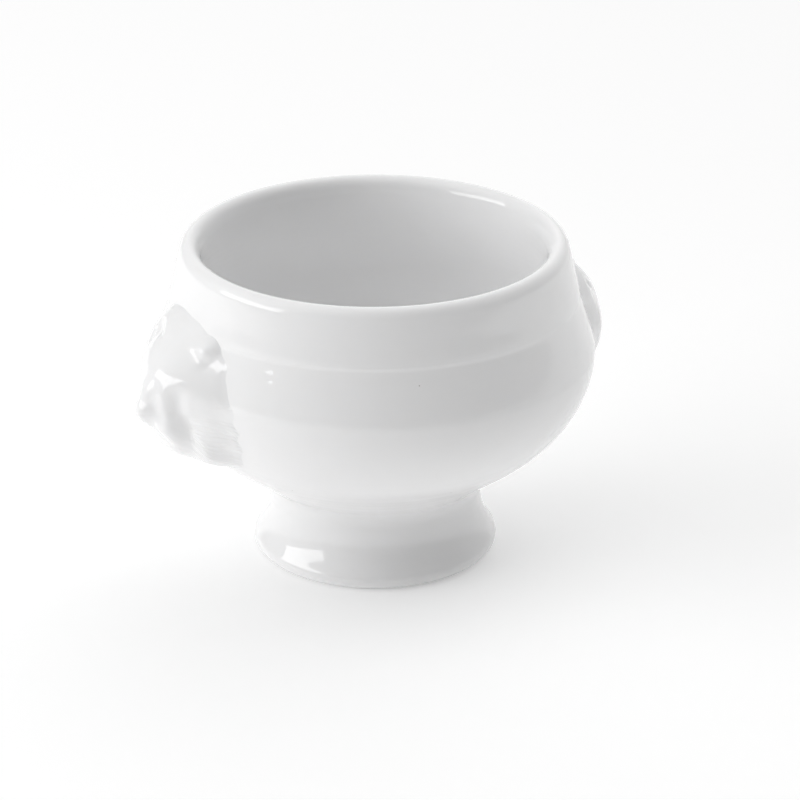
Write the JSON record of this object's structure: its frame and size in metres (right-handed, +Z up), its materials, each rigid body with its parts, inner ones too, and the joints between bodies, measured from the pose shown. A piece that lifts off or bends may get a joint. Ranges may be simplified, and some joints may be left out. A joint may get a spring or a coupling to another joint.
{
  "type": "lion head bowl",
  "caption": "Footed white porcelain soup bowl with a rounded belly, a tall collar under a rolled lip, and a lion head on each side as a handle lug.",
  "frame": {"origin": "centre of the foot ring's base, on the surface the bowl stands on", "axes": "+Z up through the mouth, +X through the noses of the two lion heads, +Y across them"},
  "size_m": [0.1558, 0.1284, 0.0958],
  "materials": {
    "glazed_porcelain": "clear gloss glaze over white porcelain",
    "foot_porcelain": "clear gloss glaze, bare bisque on the ring it stands on",
    "head_porcelain": "clear gloss glaze pooled in the carving"
  },
  "bodies": {
    "root": {"bowl_body": "glazed_porcelain", "pedestal_foot": "foot_porcelain", "lion_head_left": "head_porcelain", "lion_head_right": "head_porcelain"}
  },
  "joints": []
}
